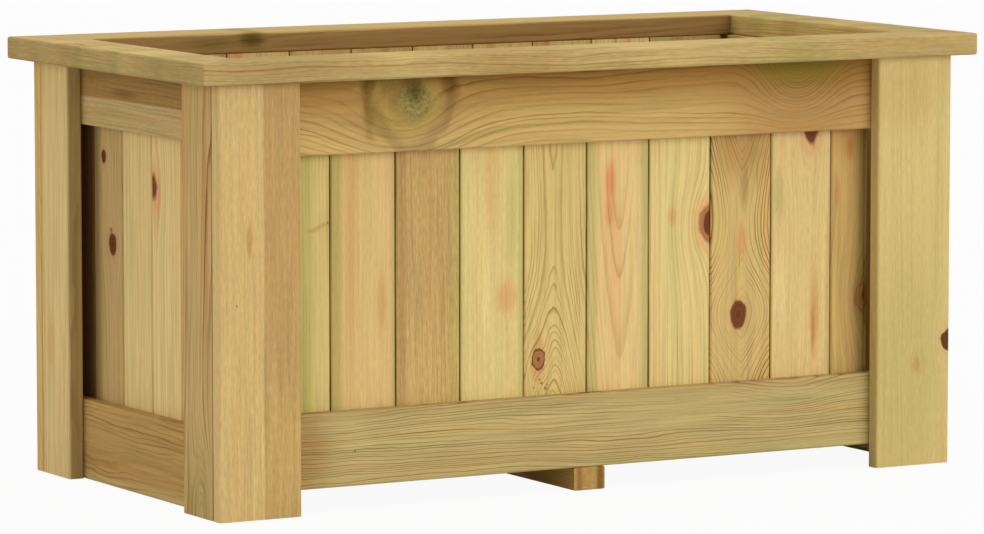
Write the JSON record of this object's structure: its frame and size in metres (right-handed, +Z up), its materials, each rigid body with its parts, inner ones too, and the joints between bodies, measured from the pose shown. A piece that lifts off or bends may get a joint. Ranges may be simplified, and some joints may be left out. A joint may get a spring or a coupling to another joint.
{
  "type": "raised garden bed",
  "caption": "Rectangular raised garden bed of planed softwood: L-shaped corner posts, rails, upright tongue-and-groove planks, a mitred rim and a slatted floor, to be filled with soil.",
  "frame": {"origin": "on the ground, under the centre of the bed", "axes": "+X along the bed, +Y to the back, +Z up"},
  "size_m": [1, 0.5, 0.5],
  "materials": {
    "frame_pine": "planed, pressure treated",
    "plank_pine": "planed, pressure treated",
    "floor_pine": "planed, pressure treated",
    "dowel_beech": "plain",
    "screw_steel": "zinc plated"
  },
  "bodies": {
    "root": {"centre_batten": "floor_pine", "end_ledger_left": "floor_pine", "end_ledger_right": "floor_pine", "floor_screws": "screw_steel", "floor_slat_1": "floor_pine", "floor_slat_2": "floor_pine", "floor_slat_3": "floor_pine", "floor_slat_4": "floor_pine", "plank_back_01": "plank_pine", "plank_back_02": "plank_pine", "plank_back_03": "plank_pine", "plank_back_04": "plank_pine", "plank_back_05": "plank_pine", "plank_back_06": "plank_pine", "plank_back_07": "plank_pine", "plank_back_08": "plank_pine", "plank_back_09": "plank_pine", "plank_back_10": "plank_pine", "plank_front_01": "plank_pine", "plank_front_02": "plank_pine", "plank_front_03": "plank_pine", "plank_front_04": "plank_pine", "plank_front_05": "plank_pine", "plank_front_06": "plank_pine", "plank_front_07": "plank_pine", "plank_front_08": "plank_pine", "plank_front_09": "plank_pine", "plank_front_10": "plank_pine", "plank_left_01": "plank_pine", "plank_left_02": "plank_pine", "plank_left_03": "plank_pine", "plank_left_04": "plank_pine", "plank_left_05": "plank_pine", "plank_right_01": "plank_pine", "plank_right_02": "plank_pine", "plank_right_03": "plank_pine", "plank_right_04": "plank_pine", "plank_right_05": "plank_pine", "post_back_left_face": "frame_pine", "post_back_left_side": "frame_pine", "post_back_right_face": "frame_pine", "post_back_right_side": "frame_pine", "post_front_left_face": "frame_pine", "post_front_left_side": "frame_pine", "post_front_right_face": "frame_pine", "post_front_right_side": "frame_pine", "post_screws": "screw_steel", "rail_back_bottom": "frame_pine", "rail_back_top": "frame_pine", "rail_front_bottom": "frame_pine", "rail_front_top": "frame_pine", "rail_left_bottom": "frame_pine", "rail_left_top": "frame_pine", "rail_right_bottom": "frame_pine", "rail_right_top": "frame_pine", "rim_back": "frame_pine", "rim_dowels": "dowel_beech", "rim_front": "frame_pine", "rim_left": "frame_pine", "rim_right": "frame_pine"}
  },
  "joints": []
}
